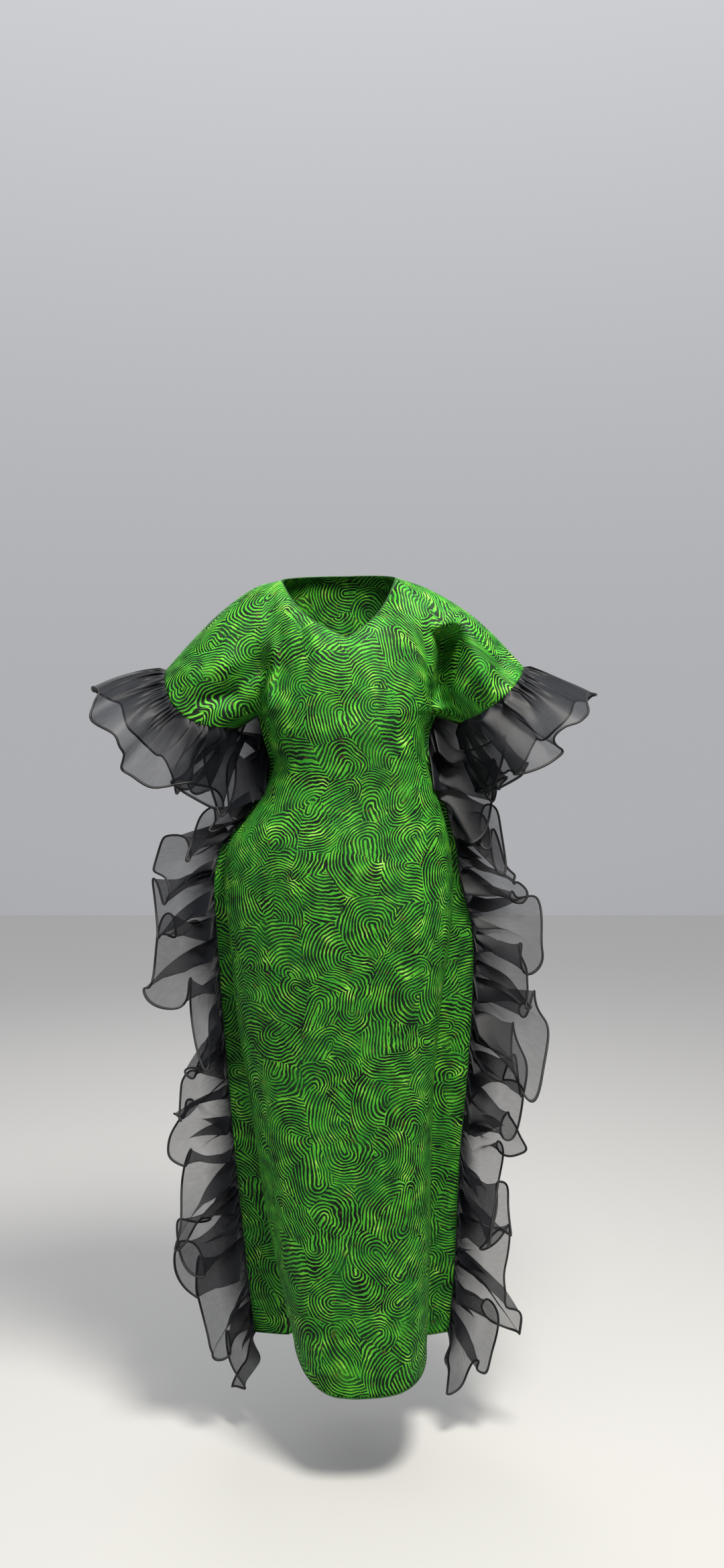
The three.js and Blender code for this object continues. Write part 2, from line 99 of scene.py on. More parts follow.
# The front hem dips in its middle and lifts near its left corner; it runs from -1 to 1 across.
HEM_START = 0.7
HEM_DIP = 25
HEM_DIP_POWER = 1.4
HEM_LIFT = 28
HEM_LIFT_INNER = -0.1
HEM_LIFT_INNER_FADE = 0.4
HEM_LIFT_OUTER = -0.86
HEM_LIFT_OUTER_FADE = 0.12

# ---- folds: x0, z0, x1, z1, width, height (below 0 for a trough) ----
FOLDS = {
    "front": (
        (-126, -140, -205, -216, 20, -15),
        (-168, -150, -262, -178, 26, 9),
        (-116, -50, -108, -200, 24, -9),
        (176, -98, 160, -222, 18, -40),
        (202, -66, 244, -200, 22, 15),
        (262, -110, 256, -190, 18, -10),
        (-150, -830, -96, -1290, 22, -12),
    ),
    "back": (
        (-150, -215, -250, -160, 28, -18),
        (156, -215, 250, -160, 28, -18),
        (-40, -620, -70, -1290, 34, -12),
        (52, -560, 74, -1290, 34, -12),
    ),
}
# Narrow creases that the solids leave out, the last nine of the front's round the two armholes.
CREASES = {
    "front": (
        (-150, -250, -20, -300, 13, -1.5),
        (150, -246, 40, -292, 13, -1.5),
        (-128, -330, -30, -352, 12, -1.5),
        (150, -338, 60, -356, 12, -1.5),
        (-170, -400, -60, -470, 18, 2),
        (168, -420, 90, -500, 18, 2),
        (60, -640, 96, -1240, 26, -5),
        (-60, -560, -40, -1180, 30, 3),
        (10, -820, 24, -1290, 30, -4),
        (-60, -60, -40, -150, 16, 2),
        (-190, -60, -236, -120, 12, 3),
        (-205, -120, -286, -150, 8, -3),
        (226, -60, 280, -140, 9, -3),
        (110, -60, 120, -190, 20, 4),
        (-126, -150, -144, -240, 9, -12),
        (-110, -120, -126, -238, 8, 6),
        (-176, -196, -236, -214, 9, -7),
        (151, -102, 149, -184, 8, 8),
        (196, -88, 230, -190, 15, 7),
        (148, -92, 190, -82, 7, 10),
        (152, -108, 188, -101, 8, -12),
        (164, -108, 161, -188, 8, -18),
        (180, -112, 172, -190, 10, -10),
    ),
    "back": (
        (-140, -260, 0, -300, 14, -2.5),
        (140, -260, 10, -304, 14, -2.5),
        (-100, -420, -90, -1200, 30, 3),
        (110, -480, 118, -1200, 30, 3),
        (0, -700, 6, -1290, 24, 3),
    ),
}
# A fold runs past both ends, and fades there, by these shares of its length.
FOLD_OVERRUN = 0.2
FOLD_FADE = 0.35
# Unevenness of the cotton: height, size across and down, and where its noise is read.
UNEVENNESS = ((1.6, 70, 120, 40, 60), (0.7, 24, 38, 40, 60), (0.3, 9, 12, 80, 130))
UNEVEN_SEED = {"front": 11, "back": 23}

# ---- grids ----
# A panel's columns are counted on the solids' grid: 22 from side seam to side seam, with 2 on each flat
# strip beside a seam and 4 on each shoulder. BODY holds the scene's finer columns in those numbers, and
# OFF_STRIPS is 0 on the flat strips and 1 between them. Creases fade in by one of COARSE_UPPER rows below
# a shoulder seam, and out over the last of ARMPIT_FADE parts above the armpits.
COARSE_FLARE = 2
COARSE_BODY = 22
COARSE_SHOULDER = 4
COARSE_UPPER = 12
FLARE_STEPS = 6
TUBE_STEPS = 108
SLEEVE_COLUMNS = 44
UPPER_ROWS = 72
LOWER_ROWS = 150
LOWER_ROW_POWER = 1.1
ARMPIT_FADE = 6
# How far each panel stands off the line of its seams.
SEAM_OFF = 0.7
COTTON_THICKNESS = 1.0
EDGE_RADIUS = 0.9
BODY = np.concatenate([
    np.linspace(0, COARSE_FLARE, FLARE_STEPS + 1)[:-1],
    np.linspace(COARSE_FLARE, COARSE_BODY - COARSE_FLARE, TUBE_STEPS + 1),
    np.linspace(COARSE_BODY - COARSE_FLARE, COARSE_BODY, FLARE_STEPS + 1)[1:],
])
OFF_STRIPS = np.clip(BODY - COARSE_FLARE, 0, 1) * np.clip(COARSE_BODY - COARSE_FLARE - BODY, 0, 1)

# ---- ruffles ----
# sway and lean: how far a wave stands out of the strip and slides along it; curl: how far it moves the
# free edge, as a share of the depth; pleats and flutes: strength of the smaller folds.
SLEEVE_RUFFLE = {
    "waves": 7, "sway": 26, "lean": 13, "edge_lean": 8, "curl": 0.07, "pleats": 0.6, "flutes": 0.9,
    "bottom_reach": 0.92, "top_reach": 0.94, "bottom_flare": 12, "top_waves": 0.22, "top_gathers_power": 0.8,
}
SIDE_RUFFLE = {
    "waves": 14, "sway": 28, "lean": 13, "edge_lean": 16, "curl": 0.17, "pleats": 1.15, "flutes": 1.7,
    "depth": 112, "top": -242, "tail": 0.06,
}
WAVE_GROWTH_POWER = 0.9
WAVE_UNEVEN = 0.35
WAVE_WANDER = 0.35
TIP_TURN = 0.3
TIP_TURN_SPREAD = 0.8
LOBE_SQUARE = 1.5
REACH_SPREAD = 0.07
DROOP_SPREAD = 14
# The side ruffles: share of the way down, droop in degrees, reach as a share of the depth.
HANG = {
    "left": np.array([
        (0, 28, 0.5), (0.04, 44, 0.55), (0.09, 43, 0.6), (0.15, 32, 0.8), (0.23, 30, 1.04),
        (0.3, 36, 1), (0.38, 36, 1.06), (0.46, 58, 0.96), (0.54, 60, 0.92), (0.63, 42, 1),
        (0.78, 39, 1.06), (0.88, 47, 1.04), (0.95, 66, 1), (1, 80, 0.94),
    ]).T,
    "right": np.array([
        (0, 20, 0.5), (0.04, 36, 0.6), (0.08, 40, 0.68), (0.14, 30, 0.92), (0.2, 28, 0.94),
        (0.3, 25, 1.05), (0.4, 35, 1.04), (0.47, 36, 1.1), (0.55, 52, 0.92), (0.66, 43, 0.96),
        (0.8, 40, 1), (0.88, 38, 1.06), (0.95, 60, 1), (1, 78, 0.94),
    ]).T,
}
# Between its ends a side ruffle lifts; under the arm it is longer and more crowded.
LIFT = 0.28
LIFT_FROM = 0.04
LIFT_TO = 0.95
LIFT_FADE = 0.08
TOP_BOOST = 0.8
TOP_BOOST_END = 0.13
TOP_CROWD = 1.5
TOP_CROWD_END = 0.16
TOP_WAVES = 2
TOP_WAVES_END = 0.2
# Pleats start at the seam and die out at end, a share of the depth that varies by spread.
GATHER_SPACING = 8.5
PLEATS = (
    {"spacing": 8.5, "height": 3.6, "slide": 4, "end": 0.4, "spread": 0.2},
    {"spacing": 17, "height": 7, "slide": 10, "end": 0.65, "spread": 0.25},
    {"spacing": 30, "height": 8, "slide": 12, "end": 1.2, "spread": 0.4},
    {"spacing": 52, "height": 9, "slide": 15, "end": 2.8, "spread": 0.8},
)
PLEAT_START = 12
PLEAT_FADE_POWER = 0.7
PLEAT_WANDER = 0.5
PLEAT_TWIST = 0.8
PLEAT_UNEVEN = 0.4
# Flutes, kinks and ripples grow towards the free edge.
FLUTE_SPACING = 42
FLUTE_HEIGHT = 9
FLUTE_SLIDE = 15
FLUTE_GROWTH_POWER = 1.2
CRUMPLE_HEIGHT = 1.5
KINK_HEIGHT = 9
KINK_SLIDE = 1.4
RIPPLE = 11
FINE_RIPPLE = 0.6
SEAM_TUCK = 0.3
HEM_GAP = 0.5
RUFFLE_ROWS = 22
STEPS_PER_GATHER = 10
HEM_RADIUS = 1.9
SEEDS = {
    "side_ruffle_left": 101, "side_ruffle_right": 202, "sleeve_ruffle_left": 303, "sleeve_ruffle_right": 404,
}

# ---- cloths (metres on the flat cut) ----
# A whorl's lines run round a straight core, ARCH_HALF long each way, which chance shifts along and aside.
WHORLS_PER_METRE = 15.0
WHORL_SHIFT = 0.09
WHORL_ASIDE = 0.05
ARCH_HALF = 0.03
ARCH_BACK = 0.02
LINE_SPACING = 0.0054
LINE_WAVER = 0.0048
LINE_EDGES = (0.42, 0.78)
THINNING = 1.1
THINNING_OFFSET = -0.62
LIGHT_LINES = ((0.3, "2C8A22"), (0.5, "42A127"), (0.65, "5FBA2F"), (0.8, "A2E45E"))
DARK_LINES = ((0.42, "020A05"), (0.68, "0A2E12"))
BARE_GROUND = ((0.3, "0F4D17"), (0.5, "217A20"), (0.6, "3F9E25"), (0.75, "6AC02C"))
BARE_SHARE = 0.3
SHADE = "3F8F4A"
SHADE_SHARE = 0.42
FLECK = "5E4A22"
FLECK_SHARE = 0.28
# How much the organza covers, seen face on: the open weave, its threads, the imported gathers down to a
# share of the depth, and the hem from HEM_STARTS on.
ORGANZA_COVER = 0.44
WEAVE_COVER = 0.12
PACKED_COVER = 0.5
PACKED_SHARE = 0.6
HEM_COVER = 0.85
HEM_STARTS = 0.98
STEEPEST_SLANT = 0.12

# ---- stage (metres) ----
FLOOR_HALF = 8
FLOOR_Z = -1.475
FLOOR_TINT = "C3C2C0"
SURROUND = "D8D9DD"
# The surround grows from dim to bright towards GLOW_WAY, between these two amounts of it.
GLOW_WAY = (0, 0.8, 0.7)
GLOW_FROM = -0.4
GLOW_TO = 0.75
DIM = 0.16
BRIGHT = 0.62
OVERHEAD = 0.9
LAMPS = {
    "key": {"place": (0.52, -1.0, 1.36), "target": (0.02, 0, -0.25), "size": 0.7, "power": 95,
            "tint": (1, 0.97, 0.88)},
    "fill": {"place": (-2.6, -2.0, 0.2), "target": (0, 0, -0.7), "size": 2.4, "power": 12,
             "tint": (0.94, 0.97, 1)},
    "rear": {"place": (-0.8, 2.8, 1.4), "target": (0, 0, -0.5), "size": 2.0, "power": 18,
             "tint": (1, 1, 1)},
}
CAMERA_PLACE = (0.032, -2.0, -0.349)
SENSOR_WIDTH = 36
LENS = 26.77


# ---- helpers ----
def smooth(t):
    t = np.clip(t, 0, 1)
    return t * t * (3 - 2 * t)


def mix(a, b, t):
    return a + (b - a) * t


def read(keys, values, at):
    """A smooth curve through a table's values."""
    keys = np.asarray(keys, float)
    values = np.asarray(values, float)
    if keys[0] > keys[-1]:
        keys, values = keys[::-1], values[::-1]
    slope = np.empty(len(keys))
    slope[1:-1] = (values[2:] - values[:-2]) / (keys[2:] - keys[:-2])
    slope[0] = (values[1] - values[0]) / (keys[1] - keys[0])
    slope[-1] = (values[-1] - values[-2]) / (keys[-1] - keys[-2])
    i = np.clip(np.searchsorted(keys, at, side="right") - 1, 0, len(keys) - 2)
    width = keys[i + 1] - keys[i]
    t = (at - keys[i]) / width
    t2, t3 = t * t, t * t * t
    return (
        (2 * t3 - 3 * t2 + 1) * values[i]
        + (t3 - 2 * t2 + t) * width * slope[i]
        + (3 * t2 - 2 * t3) * values[i + 1]
        + (t3 - t2) * width * slope[i + 1]
    )


def noise1(x, seed, knots=4096):
    """Smooth seeded noise from -1 to 1 along a line."""
    values = np.random.RandomState(seed).uniform(-1, 1, knots)
    i = np.floor(x).astype(int)
    return mix(values[i % knots], values[(i + 1) % knots], smooth(x - i))


def noise2(x, y, seed, knots=256):
    """Smooth seeded noise from -1 to 1 over a plane."""
    values = np.random.RandomState(seed).uniform(-1, 1, (knots, knots))
    i, j = np.floor(x).astype(int), np.floor(y).astype(int)
    s, t = smooth(x - i), smooth(y - j)
    i0, i1, j0, j1 = i % knots, (i + 1) % knots, j % knots, (j + 1) % knots
    return mix(mix(values[i0, j0], values[i1, j0], s), mix(values[i0, j1], values[i1, j1], s), t)


def lengths_along(points):
    """How far along a line of points each of them is."""
    return np.concatenate([[0], np.cumsum(np.linalg.norm(np.diff(points, axis=0), axis=1))])


def add_object(name, data):
    obj = bpy.data.objects.new(name, data)
    bpy.context.scene.collection.objects.link(obj)
    return obj


# ---- shape of the panels ----
def section(face, z):
    """One level section of a panel, side seam to side seam."""
    side = SIDE[face]
    at = {column: float(read(SECTIONS["z"], SECTIONS[column], z)) for column in SECTION_COLUMNS}
    seam_y = at["flare"] + side * SEAM_OFF
    shape = at[face + "_shape"]
    middle = (at["left_root"] + at["right_root"]) / 2
    half = (at["right_root"] - at["left_root"]) / 2
    bulge = side * at[face] - seam_y
    angle = np.linspace(math.pi, 0, ARC_STEPS + 1)
    cosine, sine = np.cos(angle), np.abs(np.sin(angle))
    x = middle + half * np.sign(cosine) * np.abs(cosine) ** (2 / shape)
    y = seam_y + bulge * sine ** (2 / shape)
    along = np.concatenate([[0], np.cumsum(np.hypot(np.diff(x), np.diff(y)))])
    share = np.clip((BODY - COARSE_FLARE) / (COARSE_BODY - 2 * COARSE_FLARE), 0, 1)
    points = np.empty((len(BODY), 3))
    points[:, 0] = np.interp(share * along[-1], along, x)
    points[:, 1] = np.interp(share * along[-1], along, y)
    points[:, 2] = z
    left, right = BODY < COARSE_FLARE, BODY > COARSE_BODY - COARSE_FLARE
    points[left, 0] = mix(at["left"], at["left_root"], BODY[left] / COARSE_FLARE)
    points[right, 0] = mix(at["right"], at["right_root"], (COARSE_BODY - BODY[right]) / COARSE_FLARE)
    points[left | right, 1] = seam_y
    return points


def neck_point(face, t):
    """A point of the neck edge: t runs from -1 at its left corner to 1 at its right one."""
    corner = NECK_LEFT if t < 0 else NECK_RIGHT
    x = mix(V_POINT[0], corner[0], abs(t))
    if face == "back":
        bow = math.sqrt(1 - t * t)
        return x, SEAM_OFF + BACK_NECK_DEPTH * bow, corner[1] * abs(t) + BACK_NECK_RISE * bow
    rise = V_STRAIGHT_SHARE * abs(t) + (1 - V_STRAIGHT_SHARE) * abs(t) ** V_ROUND_POWER
    z = mix(V_POINT[1], corner[1], rise)
    drop = (corner[1] - z) / (corner[1] - V_POINT[1])
    return x, -SEAM_OFF - NECK_FRONT_DEPTH * drop**NECK_FRONT_POWER, z


def top_edge(face):
    """Along the shoulder seams and round the neck."""
    points = np.empty((len(BODY), 3))
    for n, column in enumerate(BODY):
        from_end = COARSE_BODY - column
        if column <= COARSE_SHOULDER or from_end <= COARSE_SHOULDER:
            sleeve = SLEEVES["left" if column <= COARSE_SHOULDER else "right"]
            at = ARMHOLE_AT * (1 - min(column, from_end) / COARSE_SHOULDER)
            points[n] = read(SEAM_AT, sleeve["x"], at), SIDE[face] * SEAM_OFF, read(SEAM_AT, sleeve["z"], at)
        else:
            t = 2 * (column - COARSE_SHOULDER) / (COARSE_BODY - 2 * COARSE_SHOULDER) - 1
            points[n] = neck_point(face, t)
    return points


def rounded(v):
    """The round of a sleeve or chest, from 0 over it through 1 to 0 under it."""
    return np.maximum(1 - np.abs(2 * v - 1) ** SLEEVE_ROUNDNESS, 0) ** 0.5


def sleeve_points(face, sleeve, armpit, share, v):
    """Points of a sleeve: share 0 at the cuff and 1 at the armhole, v 0 over the arm and 1 under it."""
    at = mix(1, ARMHOLE_AT, share)
    bow = 4 * v * (1 - v) * (1 - share) ** BOW_FADE_POWER
    x = mix(read(SEAM_AT, sleeve["x"], at), mix(sleeve["cuff"][0], armpit[0], share), v)
    z = mix(read(SEAM_AT, sleeve["z"], at), mix(sleeve["cuff"][1], armpit[2], share), v)
    depth = mix(sleeve[face], ARMHOLE_DEPTH[face], share)
    y = SIDE[face] * (SEAM_OFF + depth * rounded(v))
    return np.stack([x + bow * sleeve["bow"][0], y, z + bow * sleeve["bow"][1]], -1)


def body_points(face, high, chest, v):
    """The body of a panel between its top edge and its chest line."""
    side = SIDE[face]
    points = mix(high[None], chest[None], v[..., None])
    inward = smooth(np.minimum(BODY, COARSE_BODY - BODY) / (COARSE_BODY / 2))
    middle = SEAM_OFF + mix(ARMHOLE_DEPTH[face], CHEST_DEPTH[face], inward)
    over_chest = (1 - (1 - v) ** SLEEVE_ROUNDNESS) ** 0.5
    half_way = (1 - 0.5**SLEEVE_ROUNDNESS) ** 0.5
    points[..., 1] = mix(high[None, :, 1], chest[None, :, 1], over_chest)
    fuller = np.maximum(0, middle - side * mix(high[:, 1], chest[:, 1], half_way))
    points[..., 1] += side * fuller[None] * rounded(v)
    return points


def upper_part(face):
    """Rows from the shoulder line to the armpits, and how free of the seams each point is, from 0 to 1."""
    chest = section(face, SECTIONS["z"][0])
    v = np.linspace(0, 1, UPPER_ROWS + 1)[:, None]
    share = np.linspace(0, 1, SLEEVE_COLUMNS + 1)[None, :-1]
    left = sleeve_points(face, SLEEVES["left"], chest[0], share, v)
    right = sleeve_points(face, SLEEVES["right"], chest[-1], share, v)[:, ::-1]
    body = body_points(face, top_edge(face), chest, v)
    near_top = np.minimum(1, COARSE_UPPER * v)
    near_low = smooth(ARMPIT_FADE * (1 - v))
    shoulder = np.minimum(BODY, COARSE_BODY - BODY) <= COARSE_SHOULDER
    body_free = mix(OFF_STRIPS[None], 1, near_low) * np.where(shoulder[None], near_top, 1)
    sleeve_free = np.repeat(near_top * near_low, SLEEVE_COLUMNS, 1)
    return np.concatenate([left, body, right], 1), np.concatenate([sleeve_free, body_free, sleeve_free], 1)


def lower_part(face):
    """Rows from below the armpits to the hem, not-a-number under the sleeves, and how free each point is."""
    down = (np.arange(1, LOWER_ROWS + 1) / LOWER_ROWS) ** LOWER_ROW_POWER
    points = np.array([section(face, mix(SECTIONS["z"][0], SECTIONS["z"][-1], d)) for d in down])
    if face == "front":
        across = 2 * BODY / COARSE_BODY - 1
        fall = smooth((down - HEM_START) / (1 - HEM_START))
        lift = HEM_LIFT * smooth((HEM_LIFT_INNER - across) / HEM_LIFT_INNER_FADE)
        lift *= smooth((across - HEM_LIFT_OUTER) / HEM_LIFT_OUTER_FADE)
        dip = HEM_DIP * (1 - np.abs(across) ** HEM_DIP_POWER)
        points[..., 2] += (lift - dip)[None] * fall[:, None]
    none = np.full((LOWER_ROWS, SLEEVE_COLUMNS, 3), np.nan)
    held = np.zeros((LOWER_ROWS, SLEEVE_COLUMNS))
    free = np.repeat(OFF_STRIPS[None], LOWER_ROWS, 0)
    return np.concatenate([none, points, none], 1), np.concatenate([held, free, held], 1)


def fold_height(folds, x, z):
    total = np.zeros_like(x)
    for x0, z0, x1, z1, width, height in folds:
        length = math.hypot(x1 - x0, z1 - z0)
        t = ((x - x0) * (x1 - x0) + (z - z0) * (z1 - z0)) / length**2
        off = ((x - x0) * (z1 - z0) - (z - z0) * (x1 - x0)) / length
        ends = smooth((t + FOLD_OVERRUN) / FOLD_FADE) * smooth((1 + FOLD_OVERRUN - t) / FOLD_FADE)
        total += height * ends * np.exp(-((off / width) ** 2))
    return total


def panel_points(face):
    """Rows from the shoulder line to the hem, folded and creased."""
    (upper, upper_free), (lower, lower_free) = upper_part(face), lower_part(face)
    points = np.concatenate([upper, lower], 0)
    free = np.concatenate([upper_free, lower_free], 0)
    x, z = np.nan_to_num(points[..., 0]), np.nan_to_num(points[..., 2])
    height = fold_height(FOLDS[face] + CREASES[face], x, z)
    for n, (size, wide, long, x_place, z_place) in enumerate(UNEVENNESS):
        height += size * noise2(x / wide + x_place, z / long + z_place, UNEVEN_SEED[face] + n)
    points[..., 1] += SIDE[face] * height * free
    return points


def cut_uv(points):
    """Lays a panel out flat: metres across from its middle and down from its chest line."""
    steps = np.diff(points, axis=1)
    across = np.nan_to_num(np.hypot(steps[..., 0], steps[..., 1]))
    u = np.concatenate([np.zeros((len(points), 1)), np.cumsum(across, 1)], 1)
    u -= u[:, [points.shape[1] // 2]]
    steps = np.diff(points, axis=0)
    down = np.nan_to_num(np.hypot(steps[..., 1], steps[..., 2]))
    v = -np.concatenate([np.zeros((1, points.shape[1])), np.cumsum(down, 0)], 0)
    v += points[UPPER_ROWS, :, 2] - v[UPPER_ROWS]
    return np.stack([u, v], -1) * MM


# ---- meshes and curves ----
def grid_mesh(name, points, uv, material, wrap=False, flip=False):
    """A sheet through rows of points; wrap joins the last column to the first, flip turns it over."""
    rows, columns = points.shape[:2]
    known = np.isfinite(points[..., 0])
    ids = np.cumsum(known.ravel()).reshape(known.shape) - 1
    faces, corners = [], []
    last = columns if wrap else columns - 1
    for r in range(rows - 1):
        for c in range(last):
            n = (c + 1) % columns
            if known[r, c] and known[r + 1, c] and known[r + 1, n] and known[r, n]:
                face = [ids[r, c], ids[r + 1, c], ids[r + 1, n], ids[r, n]]
                corner = [(r, c), (r + 1, c), (r + 1, c + 1), (r, c + 1)]
                faces.append(face[::-1] if flip else face)
                corners.append(corner[::-1] if flip else corner)
    mesh = bpy.data.meshes.new(name)
    mesh.from_pydata((points[known] * MM).tolist(), [], faces)
    layer = mesh.uv_layers.new(name="cut")
    where = np.array(corners).reshape(-1, 2)
    layer.data.foreach_set("uv", uv[where[:, 0], where[:, 1]].astype(np.float32).ravel())
    mesh.polygons.foreach_set("use_smooth", [True] * len(mesh.polygons))
    mesh.materials.append(material)
    mesh.update()
    return add_object(name, mesh)


def round_edge(name, points, radius, material, closed=False):
    """A thin round edge along a line of points."""
    curve = bpy.data.curves.new(name, "CURVE")
    curve.dimensions = "3D"
    curve.bevel_depth = radius * MM
    curve.bevel_resolution = 2
    curve.use_fill_caps = not closed
    spline = curve.splines.new("POLY")
    spline.points.add(len(points) - 1)
    packed = np.concatenate([points * MM, np.ones((len(points), 1))], 1)
    spline.points.foreach_set("co", packed.ravel())
    spline.use_cyclic_u = closed
    spline.use_smooth = True
    curve.materials.append(material)
    return add_object(name, curve)


# ---- materials ----
def colour(hex_code):
    """Linear colour of an sRGB hex code."""
    parts = [int(hex_code[i : i + 2], 16) / 255 for i in (0, 2, 4)]
    return [*(p / 12.92 if p <= 0.04045 else ((p + 0.055) / 1.055) ** 2.4 for p in parts), 1]


class Nodes:
    """Short names for building the nodes of a material or a world."""

    def __init__(self, block, shader="Principled BSDF"):
        block.use_nodes = True
        self.block = block
        self.tree = block.node_tree
        self.inputs = self.tree.nodes[shader].inputs

    def add(self, kind, inputs=None, **settings):
        node = self.tree.nodes.new("ShaderNode" + kind)
        for key, value in settings.items():
            setattr(node, key, value)
        for key, value in (inputs or {}).items():
            self.put(node.inputs[key], value)
        return node

    def put(self, socket, value):
        if isinstance(value, bpy.types.NodeSocket):
            self.tree.links.new(value, socket)
        else:
            socket.default_value = value

    def finish(self, **values):
        """Sets the shader's inputs, named with _ for a space."""
        for name, value in values.items():
            self.put(self.inputs[name.replace("_", " ")], value)
        return self.block

    def cut(self):
        """Where a point lies on the flat cut."""
        return self.add("UVMap", uv_map="cut").outputs[0]

    def maths(self, operation, a, b=0.0, c=0.0, clamp=False):
        return self.add("Math", {0: a, 1: b, 2: c}, operation=operation, use_clamp=clamp).outputs[0]

    def vector(self, operation, a, b=(0, 0, 0)):
        return self.add("VectorMath", {0: a, 1: b}, operation=operation).outputs[0]

    def noise(self, vector, scale, detail=2.0, out="Factor", place=None):
        if place:
            vector = self.vector("ADD", vector, (*place, 0))
        inputs = {"Vector": vector, "Scale": scale, "Detail": detail}
        return self.add("TexNoise", inputs, noise_dimensions="2D").outputs[0 if out == "Factor" else 1]

    def ramp(self, factor, stops):
        node = self.add("ValToRGB", {0: factor})
        elements = node.color_ramp.elements
        while len(elements) < len(stops):
            elements.new(0.5)
        for element, (position, hex_code) in zip(elements, stops):
            element.position = position
            element.color = colour(hex_code)
        return node.outputs[0]

    def blend(self, factor, a, b, mode="MIX"):
        return self.add("Mix", {0: factor, 6: a, 7: b}, data_type="RGBA", blend_type=mode).outputs[2]


def whorl_lines(m, cut):
    """Lines from 0, dark, to 1, light, in loops and arches that each have their own place and turn."""
    def swayed(vector, scale, size):
        sway = m.vector("SUBTRACT", m.noise(cut, scale, 2.0, "Color"), (0.5, 0.5, 0.5))
        return m.vector("ADD", vector, m.vector("MULTIPLY", sway, (size, size, 0)))

    bent = swayed(swayed(cut, 7.0, 0.04), 30.0, 0.006)
    cells = m.add("TexVoronoi", {"Vector": bent, "Scale": WHORLS_PER_METRE, "Randomness": 1.0},
                  voronoi_dimensions="2D", feature="F1")
    away = m.vector("SUBTRACT", bent, cells.outputs["Position"])
    chance = m.add("SeparateColor", {0: cells.outputs["Color"]}).outputs
    turn = m.maths("MULTIPLY", chance[0], 2 * math.pi)
    turned = m.add("VectorRotate", {"Vector": away, "Angle": turn}, rotation_type="Z_AXIS").outputs[0]
    place = m.add("SeparateXYZ", {0: turned}).outputs
    along = m.maths("ABSOLUTE", m.maths("MULTIPLY_ADD", chance[1], WHORL_SHIFT, place[0]))
    along = m.maths("MAXIMUM", m.maths("SUBTRACT", along, ARCH_HALF), 0.0)
    aside = m.maths("MULTIPLY_ADD", chance[2], WHORL_ASIDE, m.maths("SUBTRACT", place[1], ARCH_BACK))
    loop = m.add("CombineXYZ", {0: along, 1: aside}).outputs[0]
    reach = m.add("VectorMath", {0: loop}, operation="LENGTH").outputs["Value"]
    waver = m.maths("MULTIPLY", m.maths("SUBTRACT", m.noise(cut, 60.0), 0.5), LINE_WAVER)
    phase = m.maths("DIVIDE", m.maths("ADD", reach, waver), LINE_SPACING)
    wave = m.maths("MULTIPLY_ADD", m.maths("SINE", m.maths("MULTIPLY", phase, 2 * math.pi)), 0.5, 0.5)
    thinner = m.maths("MULTIPLY_ADD", m.noise(cut, 45.0, 3.0), THINNING, THINNING_OFFSET)
    wave = m.maths("ADD", wave, thinner, clamp=True)
    edges = {0: wave, 1: LINE_EDGES[0], 2: LINE_EDGES[1]}
    return m.add("MapRange", edges, interpolation_type="SMOOTHSTEP").outputs[0]


def printed_cotton():
    """Cotton printed with close wavering lines, dark and light green, with shades, bare spots and flecks."""
    m = Nodes(bpy.data.materials.new("printed_cotton"))
    cut = m.cut()

    def patches(scale, place, share, detail=2.0, gain=4.0, middle=0.5):
        spots = m.maths("SUBTRACT", m.noise(cut, scale, detail, place=place), middle)
        return m.maths("MULTIPLY", m.maths("MULTIPLY", spots, gain, clamp=True), share)

    light = m.ramp(m.noise(cut, 34.0, 5.0), LIGHT_LINES)
    dark = m.ramp(m.noise(cut, 14.0, place=(5.5, 0.8)), DARK_LINES)
    bare = m.ramp(m.noise(cut, 16.0, 3.0), BARE_GROUND)
    painted = m.blend(whorl_lines(m, cut), dark, light)
    painted = m.blend(patches(18.0, (3.1, 1.7), BARE_SHARE, middle=0.55), painted, bare)
    painted = m.blend(patches(7.0, (7.3, 5.1), SHADE_SHARE, 3.0, 3.0), painted, colour(SHADE), "MULTIPLY")
    fleck = m.maths("GREATER_THAN", m.noise(cut, 80.0, place=(1.9, 8.4)), 0.7)
    painted = m.blend(m.maths("MULTIPLY", fleck, FLECK_SHARE), painted, colour(FLECK))
    weave = m.add("Bump", {"Strength": 0.25, "Distance": 0.0004, "Height": m.noise(cut, 900.0)}).outputs[0]
    return m.finish(Base_Color=painted, Roughness=0.7, Specular_IOR_Level=0.2, Normal=weave)


def organza_cloth():
    """Sheer black weave; its uv is metres along the strip, and 0 at the seam to 1 at the free edge."""
    m = Nodes(bpy.data.materials.new("organza"))
    cut = m.cut()
    depth = m.add("SeparateXYZ", {0: cut}).outputs[1]
    hem = m.maths("GREATER_THAN", depth, HEM_STARTS)
    threads = m.noise(m.vector("MULTIPLY", cut, (1.0, 0.03, 0)), 260.0)
    packed = m.maths("MULTIPLY_ADD", depth, -1 / PACKED_SHARE, 1.0, clamp=True)
    cover = m.maths("MULTIPLY_ADD", threads, WEAVE_COVER, ORGANZA_COVER)
    cover = m.maths("MULTIPLY_ADD", packed, PACKED_COVER, cover, clamp=True)
    cover = m.maths("MAXIMUM", cover, m.maths("MULTIPLY", hem, HEM_COVER))
    # The threads close up where the sheer cloth is seen at a slant.
    facing = m.add("LayerWeight", {"Blend": 0.5}).outputs["Facing"]
    slant = m.maths("DIVIDE", 1.0, m.maths("MAXIMUM", m.maths("SUBTRACT", 1.0, facing), STEEPEST_SLANT))
    cover = m.maths("SUBTRACT", 1.0, m.maths("POWER", m.maths("SUBTRACT", 1.0, cover), slant))
    return m.finish(
        Base_Color=colour("090B12"), Roughness=0.5, Specular_IOR_Level=0.2,
        Sheen_Weight=0.04, Sheen_Roughness=0.4, Sheen_Tint=colour("7C8496"), Alpha=cover,
    )


